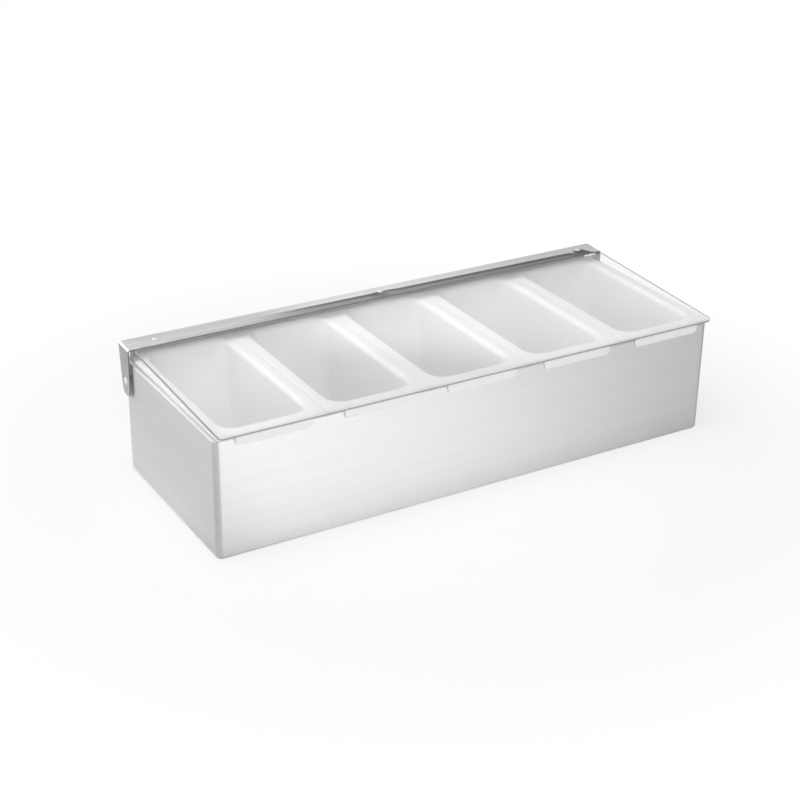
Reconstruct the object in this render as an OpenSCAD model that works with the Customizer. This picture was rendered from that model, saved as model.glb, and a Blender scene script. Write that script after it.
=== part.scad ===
// Bar garnish caddy: a folded stainless housing that holds five white trays side by side under one
// clear lid. The lid is riveted to a hinge bar whose two ears swing on pins in the end walls.
// Millimetres. +X runs along the caddy, +Y points to the back, +Z up.
// The origin is the middle of the base, on the surface that the caddy stands on.

/* [Housing] */
// Length of the housing, end wall to end wall
body_l = 460; // [440:1:480]
// Depth of the housing, front wall to back wall
body_d = 172; // [164:1:180]
// Height of the housing walls
body_h = 100; // [94:1:106]
// Thickness of the stainless sheet
sheet_t = 0.8; // [0.6:0.1:1]
// Outside radius of the upright corner bends
corner_r = 5; // [4:0.5:6]
// Outside radius of the fold along the foot of the walls
foot_r = 1.6; // [1.2:0.1:2]
// Width of the flange folded in under the walls
foot_w = 12; // [8:1:20]
// Width of the ledge folded in along the top of the walls
ledge_w = 5.5; // [4:0.5:7]
// Outside radius of the fold between the walls and that ledge
ledge_r = 1.4; // [1.1:0.1:2]
// How far the back wall stands up past the ledge, as a stop behind the trays' flanges
back_rise = 5.3; // [3:0.1:5.8]

/* [Trays] */
// Width of one tray flange, along the caddy
tray_w = 91; // [88:0.5:91]
// Gap between neighbouring flanges
tray_gap = 0.5; // [0.3:0.1:0.8]
// How far the row of trays lies off the middle, towards the right
tray_shift = 2; // [0:0.1:2.5]
// Thickness of the flange that rests on the housing
flange_t = 1.5; // [1.2:0.1:2]
// Radius of the flange corners
flange_r = 4; // [3:0.5:6]
// Flange width between a tray's side and its opening
rim_side = 10.8; // [10:0.1:13]
// Flange width between the housing's outside and the opening, in front
rim_front = 12; // [11:0.1:15]
// The same at the back, under the hinge bar
rim_back = 8; // [7.5:0.5:12]
// Corner radius of the opening
opening_r = 13; // [12:0.5:16]
// Wall thickness of a tray
tray_wall = 1.6; // [1.2:0.1:2]
// Depth of a tray below the top of its flange, inside
tray_depth = 82; // [60:1:86]
// How much a tray narrows in front and on each side from its opening to its floor
tray_draft = 4.5; // [1:0.5:5]
// How far a tray's back wall leans in from its opening to its floor
back_lean = 18; // [5:1:24]
// Size of the fillet between a tray's walls and its floor
tray_fillet = 6; // [4:0.5:7]
// Width of the hook tab in front of each tray
tab_w = 64; // [50:1:70]
// How far the hook tab hangs below the housing's top edge
tab_drop = 6; // [4:0.5:9]
// Thickness of the hook tab
tab_t = 1.4; // [1.2:0.1:2]
// Corner radius at the bottom of the hook tab
tab_r = 3; // [2:0.5:4]
// Clearance between the hook tab and the front wall
tab_clear = 0.3; // [0.2:0.1:0.5]

/* [Lid] */
// Thickness of the clear lid
lid_t = 2.5; // [2:0.1:3]
// How far the lid stands out past the right end wall
lid_over_right = 2.3; // [1.5:0.1:3]
// How far the lid's left edge lies in from the outside of the left end wall
lid_in_left = 3.5; // [0:0.1:5]
// How far the lid stands out past the front wall
lid_over_front = 2.5; // [2:0.1:5]
// Radius of the lid's front corners
lid_r = 4; // [2:0.5:8]
// Slope of the closed lid, higher at the back, in degrees
lid_tilt = 2.5; // [1.5:0.1:3.5]
// Clearance between the closed lid and the trays it lies on
lid_clear = 0.1; // [0.05:0.05:0.3]

/* [Hinge bar] */
// Thickness of the hinge bar's strip
bar_t = 1.2; // [1:0.1:1.5]
// How far the bar reaches in front of the pivot
bar_front = 7; // [6.5:0.5:9]
// How far the bar reaches behind the pivot
bar_back = 13; // [11:0.5:14]
// Outside radius of the bends between the bar and its ears
bend_r = 2; // [1.8:0.1:3]
// Gap between an ear and the end wall
ear_gap = 1.2; // [1:0.1:1.6]
// Radius of the round end of an ear
ear_r = 7.5; // [7:0.5:8]
// How far the centre of that round end lies below the pivot
ear_drop = 5.5; // [3:0.1:8]

/* [Pins and rivets] */
// Distance of the pivot from the outside of the back wall
pivot_inset = 7; // [7:0.5:12]
// Distance of the pivot below the housing's top edge
pivot_drop = 17.5; // [14:0.5:20]
// Radius of a pivot pin
pin_r = 2; // [1.6:0.1:2.2]
// Clearance of the ears, washers and end walls around a pin
pin_clear = 0.05; // [0.02:0.01:0.1]
// Radius of a pivot pin's domed head
pin_head_r = 3.2; // [3:0.1:4.5]
// Height of a pivot pin's domed head
pin_head_h = 1.3; // [1:0.1:2]
// Radius of the washer between an ear and the wall
washer_r = 3.4; // [3:0.1:3.6]
// Radius of a lid rivet's shank
rivet_r = 1.6; // [1.2:0.1:2]
// Radius of a lid rivet's domed head
rivet_head_r = 2.9; // [2.6:0.1:3.5]
// Height of a lid rivet's domed head
rivet_head_h = 1.3; // [0.8:0.1:1.6]
// Radius of the backing washer under the lid
backing_r = 5; // [4:0.5:5]
// Thickness of the backing washer
backing_t = 0.7; // [0.5:0.1:1]
// Height of the clinched end below the backing washer
clinch_h = 0.9; // [0.6:0.1:1.2]
// Distance of the outer lid rivets from the middle one
rivet_pitch = 209; // [190:1:212]
// How far the row of lid rivets lies off the middle, towards the right
rivet_shift = 4; // [0:1:6]

/* [Hidden] */

// Smoothness of round exact shapes, and of the circles inside a hull
$fn = 96;
HULL_FN = 32;
TRAY_COUNT = 5;
// Small overlap that makes a cut pass right through
CUT = 1;
// Play of an ear between its washer and its pin's head
EAR_PLAY = 0.05;

steel = "#c4c7ca";
pin_steel = "#d8dadc";
tray_white = "#f5f6f7";
clear_plastic = [0.86, 0.9, 0.92, 0.35];

half_l = body_l / 2;
half_d = body_d / 2;
plate_inset = foot_r + 0.2;

pivot_y = half_d - pivot_inset;
pivot_z = body_h - pivot_drop;

// Outer faces of the ears, and where the flat part of the bar ends
ear_inner_x = half_l + ear_gap;
ear_outer_x = ear_inner_x + bar_t;
bar_flat_x = ear_outer_x - bend_r;

// The closed lid touches the hook tabs along this line
rest_y = -half_d - tab_clear - tab_t;
rest_z = body_h + flange_t + lid_clear;

// The lid and the bar are drawn flat around the pivot, then turned by the lid's slope. Their heights
// above the pivot follow from the line that the lid rests on.
lid_under = (pivot_y - rest_y) * sin(lid_tilt) + (rest_z - pivot_z) * cos(lid_tilt);
lid_top = lid_under + lid_t;
bar_top = lid_top + bar_t;
lid_front = -(pivot_y + half_d + lid_over_front) * cos(lid_tilt) + (rest_z - pivot_z) * sin(lid_tilt);
lid_back = bar_back - 3;
lid_left = -half_l + lid_in_left;
lid_right = half_l + lid_over_right;
// The lid is notched at the back, where its ends would run into the ears and their bends
notch_x = ear_inner_x - 0.6;
notch_y = -bar_front - 0.8;

tray_pitch = tray_w + tray_gap;
tray_floor_z = body_h + flange_t - tray_depth;
opening_w = tray_w - 2 * rim_side;
flange_short = sheet_t + 0.3;
opening_front = -half_d + rim_front;
opening_back = half_d - rim_back;

rivet_line = (bar_back - bar_front) / 2;
rivet_x = [rivet_shift - rivet_pitch, rivet_shift, rivet_shift + rivet_pitch];

// ---------- shared shapes ----------

// A rounded rectangle about the origin
module rounded_rect(w, d, r) {
    square([w, d - 2 * r], center = true);
    square([w - 2 * r, d], center = true);
    for (sx = [-1, 1], sy = [-1, 1])
        translate([sx * (w / 2 - r), sy * (d / 2 - r)]) circle(r);
}

// A domed head of radius r and height h, standing on z = 0
module dome(r, h) {
    ball_r = (r * r + h * h) / (2 * h);
    intersection() {
        translate([0, 0, h - ball_r]) sphere(ball_r);
        cylinder(r = r, h = h);
    }
}

// Takes what is drawn about the pivot to its place on the closed caddy
module on_pivot() {
    translate([0, pivot_y, pivot_z]) rotate([lid_tilt, 0, 0]) children();
}

// ---------- housing ----------

// A fold of the sheet seen in section: a quarter ring about the origin, outside towards -x and -y
module fold(r) {
    intersection() {
        difference() {
            circle(r);
            circle(r - sheet_t);
        }
        translate([-r, -r]) square(r);
    }
}

// Section through a wall: x runs inwards from the outside face, y is height. The foot is folded in
// over the base plate, and the top is folded in to a ledge that carries the trays.
module wall_section(foot, ledge) {
    foot_z = sheet_t + foot_r;
    ledge_z = body_h - ledge_r;
    translate([0, foot_z]) square([sheet_t, ledge_z - foot_z]);
    translate([foot_r, foot_z]) fold(foot_r);
    translate([foot_r, sheet_t]) square([foot - foot_r, sheet_t]);
    translate([ledge_r, ledge_z]) mirror([0, 1]) fold(ledge_r);
    translate([ledge_r, body_h - sheet_t]) square([ledge - ledge_r, sheet_t]);
}

// One straight wall, its outside face on y = -run / 2, along X
module straight_wall(length, run) {
    translate([-length / 2, -run / 2, 0])
        rotate([90, 0, 90])
            linear_extrude(length) wall_section(foot_w, ledge_w);
}

module wall_band() {
    color(steel) difference() {
        union() {
            for (turn = [0, 180]) {
                rotate(turn) straight_wall(body_l - 2 * corner_r, body_d);
                rotate(turn + 90) straight_wall(body_d - 2 * corner_r, body_l);
            }
            for (sx = [0, 1], sy = [0, 1])
                mirror([sx, 0, 0]) mirror([0, sy, 0])
                    translate([half_l - corner_r, half_d - corner_r, 0])
                        rotate_extrude(angle = 90)
                            translate([corner_r, 0]) mirror([1, 0])
                                wall_section(corner_r, min(ledge_w, corner_r));
            translate([corner_r - half_l, half_d - sheet_t, body_h - 2 * ledge_r])
                cube([body_l - 2 * corner_r, sheet_t, back_rise + 2 * ledge_r]);
        }
        translate([-half_l - CUT, pivot_y, pivot_z])
            rotate([0, 90, 0]) cylinder(r = pin_r + pin_clear, h = body_l + 2 * CUT);
    }
}

module base_plate() {
    color(steel)
        linear_extrude(sheet_t)
            rounded_rect(body_l - 2 * plate_inset, body_d - 2 * plate_inset, corner_r - plate_inset);
}

// ---------- trays ----------

// One level of a tray's tapered form: a thin rounded slab, grown by 'grow' on every side, and by
// 'lean' less at the back
module tray_level(z, grow, h, lean) {
    r = opening_r + grow;
    for (sx = [-1, 1], y = [opening_front + opening_r, opening_back - opening_r - lean])
        translate([sx * (opening_w / 2 - opening_r), y, z])
            cylinder(r = r, h = h, $fn = HULL_FN);
}

// The tapered form of a tray with a filleted floor
module tray_form(grow, floor_z, top_z) {
    thin = 0.1;
    lean = back_lean - tray_draft;
    hull() {
        tray_level(top_z - thin, grow, thin, 0);
        tray_level(floor_z + tray_fillet, grow - tray_draft, thin, lean);
        tray_level(floor_z + 0.3 * tray_fillet, grow - tray_draft - 0.3 * tray_fillet, thin, lean);
        tray_level(floor_z, grow - tray_draft - tray_fillet, thin, lean);
    }
}

// The hook in front: the flange runs out over the wall's edge and turns down
module hook_tab() {
    translate([-tab_w / 2, rest_y, body_h]) cube([tab_w, tab_clear + tab_t + flange_r, flange_t]);
    translate([0, rest_y + tab_t, body_h - tab_drop]) rotate([90, 0, 0]) linear_extrude(tab_t) {
        translate([-tab_w / 2, tab_r]) square([tab_w, tab_drop - tab_r + flange_t]);
        translate([-tab_w / 2 + tab_r, 0]) square([tab_w - 2 * tab_r, tab_r]);
        for (side = [-1, 1])
            translate([side * (tab_w / 2 - tab_r), tab_r]) circle(tab_r);
    }
}

module tray(index) {
    x = tray_shift + (index - (TRAY_COUNT + 1) / 2) * tray_pitch;
    color(tray_white) translate([x, 0, 0]) difference() {
        union() {
            translate([0, -flange_short / 2, body_h])
                linear_extrude(flange_t) rounded_rect(tray_w, body_d - flange_short, flange_r);
            tray_form(tray_wall, tray_floor_z - tray_wall, body_h + flange_t / 2);
            hook_tab();
        }
        tray_form(0, tray_floor_z, body_h + flange_t + CUT);
    }
}

// ---------- lid ----------

module lid_outline() {
    square_front = lid_front + lid_r;
    translate([lid_left, square_front]) square([lid_right - lid_left, notch_y - square_front]);
    translate([lid_left + lid_r, lid_front]) square([lid_right - lid_left - 2 * lid_r, lid_r]);
    for (x = [lid_left + lid_r, lid_right - lid_r])
        translate([x, square_front]) circle(lid_r);
    back_left = max(lid_left, -notch_x);
    translate([back_left, notch_y]) square([notch_x - back_left, lid_back - notch_y]);
}

module lid_panel() {
    color(clear_plastic) on_pivot()
        difference() {
            translate([0, 0, lid_under]) linear_extrude(lid_t) lid_outline();
            for (x = rivet_x)
                translate([x, rivet_line, lid_under - CUT]) cylinder(r = rivet_r, h = lid_t + 2 * CUT);
        }
}

// ---------- hinge bar ----------

// Side view of an ear, drawn with the pivot at the origin: as wide as the bar at the top, with a
// straight front edge and a back edge that runs down at a tangent to the round end.
module ear_outline() {
    top = bar_top - bend_r;
    reach = norm([bar_back, top + ear_drop]);
    touch = atan2(top + ear_drop, bar_back) - acos(ear_r / reach);
    polygon([[-bar_front, top], [bar_back, top],
             [ear_r * cos(touch), -ear_drop + ear_r * sin(touch)],
             [0, -ear_drop], [-ear_r, -ear_drop]]);
    translate([0, -ear_drop]) circle(ear_r);
}

// One end of the bar, on the right: the bend and the ear below it
module bar_end() {
    translate([bar_flat_x, bar_back, bar_top - bend_r]) rotate([90, 0, 0])
        rotate_extrude(angle = 90)
            translate([bend_r - bar_t, 0]) square([bar_t, bar_back + bar_front]);
    translate([ear_inner_x, 0, 0]) rotate([90, 0, 90]) linear_extrude(bar_t) ear_outline();
}

module hinge_bar() {
    color(steel) on_pivot()
        difference() {
            union() {
                translate([-bar_flat_x, -bar_front, lid_top])
                    cube([2 * bar_flat_x, bar_front + bar_back, bar_t]);
                bar_end();
                mirror([1, 0, 0]) bar_end();
            }
            for (x = rivet_x)
                translate([x, rivet_line, lid_top - CUT]) cylinder(r = rivet_r, h = bar_t + 2 * CUT);
            for (side = [0, 1])
                mirror([side, 0, 0]) translate([ear_inner_x - CUT, 0, 0]) rotate([0, 90, 0])
                    cylinder(r = pin_r + pin_clear, h = bar_t + 2 * CUT);
        }
}

// ---------- rivets and pins ----------

// A rivet through the bar, the lid and the backing washer, headed above and clinched below
module lid_rivet(x) {
    clinch_z = lid_under - backing_t;
    color(pin_steel) on_pivot() translate([x, rivet_line, 0]) {
        translate([0, 0, clinch_z]) cylinder(r = rivet_r, h = bar_top - clinch_z);
        translate([0, 0, bar_top]) dome(rivet_head_r, rivet_head_h);
        translate([0, 0, clinch_z]) mirror([0, 0, 1]) dome(1.6 * rivet_r, clinch_h);
    }
}

module rivet_washer(x) {
    color(pin_steel) on_pivot() translate([x, rivet_line, lid_under - backing_t])
        difference() {
            cylinder(r = backing_r, h = backing_t);
            translate([0, 0, -CUT]) cylinder(r = rivet_r, h = backing_t + 2 * CUT);
        }
}

// Takes what is drawn up the z axis to the pivot at one end: side is 1 on the right, -1 on the left
module at_end_wall(side) {
    mirror([side < 0 ? 1 : 0, 0, 0])
        translate([half_l, pivot_y, pivot_z]) rotate([0, 90, 0]) children();
}

// A pin through the end wall, the washer and the ear, clinched inside and headed outside
module pivot_pin(side) {
    reach = ear_gap + bar_t + EAR_PLAY;
    color(pin_steel) at_end_wall(side) {
        translate([0, 0, -sheet_t]) cylinder(r = pin_r, h = sheet_t + reach);
        translate([0, 0, reach]) dome(pin_head_r, pin_head_h);
        translate([0, 0, -sheet_t]) mirror([0, 0, 1]) dome(1.2 * pin_r, clinch_h);
    }
}

module pivot_washer(side) {
    color(pin_steel) at_end_wall(side)
        difference() {
            cylinder(r = washer_r, h = ear_gap - EAR_PLAY);
            translate([0, 0, -CUT]) cylinder(r = pin_r + pin_clear, h = ear_gap + 2 * CUT);
        }
}

// ---------- the parts, each in its place ----------

wall_band();
base_plate();
tray(1);  // tray_1
tray(2);  // tray_2
tray(3);  // tray_3
tray(4);  // tray_4
tray(5);  // tray_5
lid_panel();
hinge_bar();
lid_rivet(rivet_x[0]);  // lid_rivet_left
lid_rivet(rivet_x[1]);  // lid_rivet_middle
lid_rivet(rivet_x[2]);  // lid_rivet_right
rivet_washer(rivet_x[0]);  // rivet_washer_left
rivet_washer(rivet_x[1]);  // rivet_washer_middle
rivet_washer(rivet_x[2]);  // rivet_washer_right
pivot_pin(-1);  // pivot_pin_left
pivot_pin(1);  // pivot_pin_right
pivot_washer(-1);  // pivot_washer_left
pivot_washer(1);  // pivot_washer_right
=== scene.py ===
"""The looks of a bar garnish caddy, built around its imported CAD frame.

A stainless housing holds five white trays under one clear lid. The lid is riveted to a crowned hinge
bar, whose two ears swing on pins in the end walls. Sizes are in millimetres unless a comment says
otherwise. X runs to the right along the housing, y to its back, and z up from the floor.
"""

import logging
import math
from dataclasses import dataclass
from enum import Enum
from typing import Any, Iterable, Sequence

import bmesh
import bpy
from bmesh.types import BMesh
from mathutils import Matrix, Vector


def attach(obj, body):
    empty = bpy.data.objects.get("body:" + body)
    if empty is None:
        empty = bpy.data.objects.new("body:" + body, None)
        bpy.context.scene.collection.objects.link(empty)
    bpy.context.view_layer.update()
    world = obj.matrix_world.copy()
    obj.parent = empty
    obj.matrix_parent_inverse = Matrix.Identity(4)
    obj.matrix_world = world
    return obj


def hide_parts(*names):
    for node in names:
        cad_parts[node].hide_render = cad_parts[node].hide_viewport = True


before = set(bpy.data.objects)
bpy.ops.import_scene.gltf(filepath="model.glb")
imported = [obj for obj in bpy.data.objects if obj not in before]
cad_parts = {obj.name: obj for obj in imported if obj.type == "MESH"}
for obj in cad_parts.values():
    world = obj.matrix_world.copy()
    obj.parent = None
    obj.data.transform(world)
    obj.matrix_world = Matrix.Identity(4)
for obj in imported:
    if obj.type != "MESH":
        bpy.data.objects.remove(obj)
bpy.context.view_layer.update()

log = logging.getLogger("garnish_caddy")

MM = 0.001
SMOOTH_ANGLE = math.radians(35)

Pair = tuple[float, float]
Point = tuple[float, float, float]
Stops = tuple[Pair, ...]
Material = bpy.types.Material
Object = bpy.types.Object
Socket = bpy.types.NodeSocket
Tree = bpy.types.NodeTree


class Body(Enum):
    """The bodies of the frame that pieces ride on."""

    HOUSING = "housing"
    LID = "lid"


class Slot(Enum):
    """The material slots of the frame's record."""

    SHEET = "sheet"
    FASTENERS = "fasteners"
    TRAYS = "trays"
    LID = "lid"


class Grain(Enum):
    """Which way the brushing of a steel piece runs."""

    LEVEL = "level, round the walls"
    LENGTHWISE = "along the bar"


# ---------- small tools ----------


def linear(colour: str) -> tuple[float, float, float, float]:
    """Turns an sRGB hex colour into Blender's linear one.

    Args:
        colour: the colour, as "#rrggbb".

    Returns:
        Linear red, green and blue, and an alpha of 1.
    """
    parts = [int(colour[i : i + 2], 16) / 255 for i in (1, 3, 5)]
    parts = [c / 12.92 if c <= 0.04045 else ((c + 0.055) / 1.055) ** 2.4 for c in parts]
    return (parts[0], parts[1], parts[2], 1.0)


def add_node(tree: Tree, kind: str, settings: dict[str, Any] | None = None, **inputs: Any) -> bpy.types.Node:
    """Adds a node, with its settings, values and links.

    Args:
        tree: the node tree.
        kind: the node's type name.
        settings: attributes of the node, and under "in" the inputs whose names aren't plain words.
        inputs: an input by its name, with _ for a space: an output to link, or a value.

    Returns:
        The new node.
    """
    node = tree.nodes.new(kind)
    named = dict(inputs)
    for key, value in (settings or {}).items():
        if key == "in":
            named.update(value)
        else:
            setattr(node, key, value)
    for key, value in named.items():
        socket = node.inputs[key] if isinstance(key, int) else node.inputs[key.replace("_", " ")]
        if isinstance(value, Socket):
            tree.links.new(value, socket)
        else:
            socket.default_value = value
    return node


def new_material(name: str) -> tuple[Material, Tree]:
    """Makes an empty node material.

    Args:
        name: the material's name.

    Returns:
        The material and its node tree, without nodes.
    """
    material = bpy.data.materials.new(name)
    material.use_nodes = True
    material.node_tree.nodes.clear()
    return material, material.node_tree


def arc(centre: Pair, radius: float, start: float, end: float, steps: int) -> list[Pair]:
    """Points on an arc.

    Args:
        centre: the arc's centre.
        radius: the arc's radius.
        start: the angle of the first point, in degrees.
        end: the angle of the last point, in degrees.
        steps: how many chords the arc has.

    Returns:
        The points, both ends included.
    """
    angles = (math.radians(start + (end - start) * i / steps) for i in range(steps + 1))
    return [(centre[0] + radius * math.cos(a), centre[1] + radius * math.sin(a)) for a in angles]


def loft(mesh: BMesh, rings: Sequence[Sequence[Point]]) -> None:
    """Joins closed rings of points, each to the next, with quads, and closes both ends.

    Args:
        mesh: the mesh that the faces go into.
        rings: rings with the same number of points each, in millimetres.
    """
    rows = [[mesh.verts.new(Vector(point) * MM) for point in ring] for ring in rings]
    count = len(rows[0])
    for low, high in zip(rows, rows[1:]):
        for i in range(count):
            j = (i + 1) % count
            mesh.faces.new((low[i], low[j], high[j], high[i]))
    mesh.faces.new(rows[0])
    mesh.faces.new(rows[-1])


def finished(mesh: BMesh, name: str, materials: Iterable[Material]) -> Object:
    """Turns a built mesh into an object with smooth faces and outward normals.

    Args:
        mesh: the built mesh, which is freed.
        name: the object's name.
        materials: the materials, in the order of the faces' indices.

    Returns:
        The object, at the world's origin.
    """
    bmesh.ops.recalc_face_normals(mesh, faces=mesh.faces)
    data = bpy.data.meshes.new(name)
    mesh.to_mesh(data)
    mesh.free()
    for material in materials:
        data.materials.append(material)
    return smoothed(linked(name, data))


def linked(name: str, data: bpy.types.ID) -> Object:
    """Makes an object of some data and puts it in the scene.

    Args:
        name: the object's name.
        data: its mesh, light or camera.

    Returns:
        The object.
    """
    obj = bpy.data.objects.new(name, data)
    bpy.context.scene.collection.objects.link(obj)
    return obj


def smoothed(obj: Object) -> Object:
    """Shades an object smooth, apart from its sharp edges.

    Args:
        obj: the object.

    Returns:
        The same object.
    """
    obj.data.shade_smooth()
    obj.data.set_sharp_from_angle(angle=SMOOTH_ANGLE)
    return obj


def hand_over(obj: Object, body: Body, slot: Slot, *nodes: str) -> None:
    """Tells the frame what a finished piece rides on and stands for.

    Args:
        obj: the piece.
        body: the body that carries it.
        slot: the record's material slot; not used.
        nodes: the CAD nodes that it replaces.
    """
    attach(obj, body.value)
    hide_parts(*nodes)
    faces = len(obj.data.polygons)
    log.info("%s: %d faces, rides on %s, for %s", obj.name, faces, body.value, ", ".join(nodes))


# ---------- finishes ----------


@dataclass(frozen=True)
class BrushedSteel:
    """Stainless sheet, belt-brushed in the mill: fine scratches side by side, which smear each
    reflection across them and leave faint streaks of lighter and darker metal."""

    name: str
    grain: Grain
    colour: str = "#e9e9e9"
    roughness: float = 0.42
    roughness_spread: float = 0.04
    anisotropy: float = 0.85
    # Real scratches are near 0.05 mm apart, too fine for a picture of the whole caddy, so they are coarser
    scratch_pitch: float = 0.8
    scratch_length: float = 70.0
    scratch_depth: float = 0.02
    # Wide bands where the belt bit more or less, each as long as four scratches
    band_pitch: float = 9.0
    band_length: float = 280.0
    # How far the streaks take the metal's tone up and down
    streak: float = 0.035
    # The range that the scratches' and the bands' noise fill when they are added up
    noise: Pair = (0.6, 1.4)

    def build(self) -> Material:
        """Makes the material.

        Returns:
            The material.
        """
        material, tree = new_material(self.name)
        place = add_node(tree, "ShaderNodeTexCoord").outputs["Object"]
        fine = self.lines(tree, place, self.scratch_pitch, self.scratch_length)
        broad = self.lines(tree, place, self.band_pitch, self.band_length)
        both = add_node(tree, "ShaderNodeMath", {"operation": "ADD", "in": {0: fine, 1: broad}}).outputs[0]
        low, high = self.noise
        tone = add_node(tree, "ShaderNodeMapRange", Value=both, From_Min=low, From_Max=high,
                        To_Min=1 - self.streak, To_Max=1 + self.streak).outputs[0]
        colour = add_node(tree, "ShaderNodeVectorMath", {"operation": "SCALE", "in": {
            0: linear(self.colour)[:3], "Scale": tone}}).outputs[0]
        smooth, coarse = self.roughness - self.roughness_spread, self.roughness + self.roughness_spread
        rough = add_node(tree, "ShaderNodeMapRange", Value=both, From_Min=low, From_Max=high,
                         To_Min=smooth, To_Max=coarse).outputs[0]
        bump = add_node(tree, "ShaderNodeBump", Strength=0.08, Distance=self.scratch_depth * MM,
                        Height=fine).outputs[0]
        level = self.grain is Grain.LEVEL
        along = add_node(tree, "ShaderNodeTangent",
                         {"direction_type": "RADIAL", "axis": "Z" if level else "X"}).outputs[0]
        shader = add_node(tree, "ShaderNodeBsdfPrincipled", Base_Color=colour, Metallic=1.0, Roughness=rough,
                          Anisotropic=self.anisotropy, Anisotropic_Rotation=0.25 if level else 0.0,
                          Normal=bump, Tangent=along)
        add_node(tree, "ShaderNodeOutputMaterial", Surface=shader.outputs[0])
        return material

    def lines(self, tree: Tree, place: Socket, pitch: float, length: float) -> Socket:
        """Adds a noise that is drawn out along the brushing.

        Args:
            tree: the material's nodes.
            place: the coordinates, in metres.
            pitch: the distance between lines.
            length: the length of a line.

        Returns:
            The noise, 0 to 1.
        """
        fine, slow = 1 / (pitch * MM), 1 / (length * MM)
        scale = (slow, slow, fine) if self.grain is Grain.LEVEL else (slow, fine, fine)
        drawn = add_node(tree, "ShaderNodeMapping", Vector=place, Scale=scale).outputs[0]
        return add_node(tree, "ShaderNodeTexNoise", Vector=drawn, Scale=1.0, Detail=2.0,
                        Roughness=0.6).outputs[0]


@dataclass(frozen=True)
class TumbledSteel:
    """Rivets and pins, headed cold from stainless wire and tumbled: a bright metal whose skin of fine
    dents scatters much of the light, so that it is partly matt and looks light from every side."""

    name: str = "tumbled_stainless_rivet"
    colour: str = "#f4f4f4"
    metallic: float = 0.55
    roughness: float = 0.16
    roughness_spread: float = 0.05
    dent_size: float = 1.5
    dent_depth: float = 0.05

    def build(self) -> Material:
        """Makes the material.

        Returns:
            The material.
        """
        material, tree = new_material(self.name)
        place = add_node(tree, "ShaderNodeTexCoord").outputs["Object"]
        dents = add_node(tree, "ShaderNodeTexNoise", Vector=place, Scale=1 / (self.dent_size * MM),
                         Detail=2.0).outputs[0]
        smooth, coarse = self.roughness - self.roughness_spread, self.roughness + self.roughness_spread
        rough = add_node(tree, "ShaderNodeMapRange", Value=dents, To_Min=smooth, To_Max=coarse).outputs[0]
        bump = add_node(tree, "ShaderNodeBump", Strength=0.15, Distance=self.dent_depth * MM,
                        Height=dents).outputs[0]
        shader = add_node(tree, "ShaderNodeBsdfPrincipled", Base_Color=linear(self.colour),
                          Metallic=self.metallic, Roughness=rough, Normal=bump)
        add_node(tree, "ShaderNodeOutputMaterial", Surface=shader.outputs[0])
        return material


@dataclass(frozen=True)
class MouldedPlastic:
    """White polypropylene, injection-moulded in a lightly textured tool: a soft gloss, and a tone
    that clouds slightly where the plastic flowed."""

    name: str = "moulded_white_polypropylene"
    colour: str = "#f8f8f8"
    shade: str = "#f5f5f5"
    roughness: float = 0.36
    roughness_spread: float = 0.05
    index: float = 1.49
    cloud_size: float = 40.0
    # The tool's texture is near 0.2 mm across, too fine to show, so it is drawn coarser
    grain_size: float = 1.2
    grain_depth: float = 0.03

    def build(self) -> Material:
        """Makes the material.

        Returns:
            The material.
        """
        material, tree = new_material(self.name)
        place = add_node(tree, "ShaderNodeTexCoord").outputs["Object"]
        cloud = add_node(tree, "ShaderNodeTexNoise", Vector=place, Scale=1 / (self.cloud_size * MM),
                         Detail=3.0).outputs[0]
        grain = add_node(tree, "ShaderNodeTexNoise", Vector=place, Scale=1 / (self.grain_size * MM),
                         Detail=2.0).outputs[0]
        colour = add_node(tree, "ShaderNodeMix", {"data_type": "RGBA", "in": {
            0: cloud, 6: linear(self.colour), 7: linear(self.shade)}}).outputs[2]
        smooth, coarse = self.roughness - self.roughness_spread, self.roughness + self.roughness_spread
        rough = add_node(tree, "ShaderNodeMapRange", Value=cloud, To_Min=smooth, To_Max=coarse).outputs[0]
        bump = add_node(tree, "ShaderNodeBump", Strength=0.05, Distance=self.grain_depth * MM,
                        Height=grain).outputs[0]
        shader = add_node(tree, "ShaderNodeBsdfPrincipled", Base_Color=colour, Roughness=rough,
                          IOR=self.index, Normal=bump)
        add_node(tree, "ShaderNodeOutputMaterial", Surface=shader.outputs[0])
        return material


@dataclass(frozen=True)
class ClearAcrylic:
    """Cast acrylic sheet: clear, colourless and glossy. Light for what lies under it passes straight."""

    name: str = "clear_acrylic_sheet"
    colour: str = "#fefefe"
    index: float = 1.49

    def build(self) -> Material:
        """Makes the material.

        Returns:
            The material.
        """
        material, tree = new_material(self.name)
        glass = add_node(tree, "ShaderNodeBsdfPrincipled", Base_Color=linear(self.colour), Roughness=0.0,
                         IOR=self.index, Transmission_Weight=1.0).outputs[0]
        open_way = add_node(tree, "ShaderNodeBsdfTransparent", Color=linear(self.colour)).outputs[0]
        rays = add_node(tree, "ShaderNodeLightPath").outputs
        sheet = glass
        for ray in ("Is Diffuse Ray", "Is Shadow Ray"):
            sheet = add_node(tree, "ShaderNodeMixShader", {"in": {
                0: rays[ray], 1: sheet, 2: open_way}}).outputs[0]
        add_node(tree, "ShaderNodeOutputMaterial", Surface=sheet)
        return material


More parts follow.
